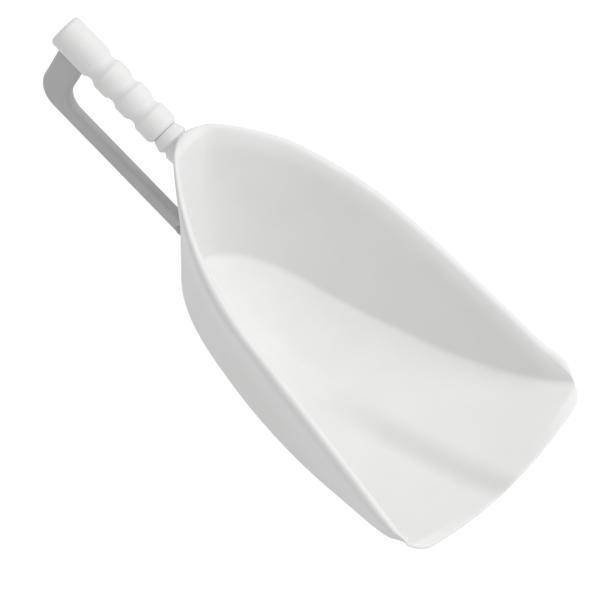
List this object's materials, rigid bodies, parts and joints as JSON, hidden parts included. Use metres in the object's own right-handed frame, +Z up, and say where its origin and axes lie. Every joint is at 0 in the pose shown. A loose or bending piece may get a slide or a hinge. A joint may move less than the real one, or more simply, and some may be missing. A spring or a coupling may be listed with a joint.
{
  "type": "feed scoop",
  "caption": "Deep open scoop with a pointed back and rising floor, a ring-grooved straight grip and a flat D-shaped guard below it.",
  "frame": {"origin": "on the table, under the middle of the overall length and on the plane of symmetry", "axes": "+X out of the mouth, +Z up, +Y across the scoop to the left of someone looking out of the mouth"},
  "size_m": [0.4212, 0.1992, 0.1063],
  "materials": {
    "bowl_white": "satin moulded polyethylene",
    "grip_white": "satin moulded polyethylene",
    "guard_grey": "satin grey moulded nylon",
    "steel": "plain stainless steel",
    "brass": "turned brass",
    "aluminium": "plain"
  },
  "bodies": {
    "root": {"bowl": "bowl_white", "grip": "grip_white", "hand_guard": "guard_grey", "end_plug": "grip_white", "tie_bolt": "steel", "tie_washer": "steel", "neck_insert": "brass", "fork_rivet": "aluminium"}
  },
  "joints": []
}
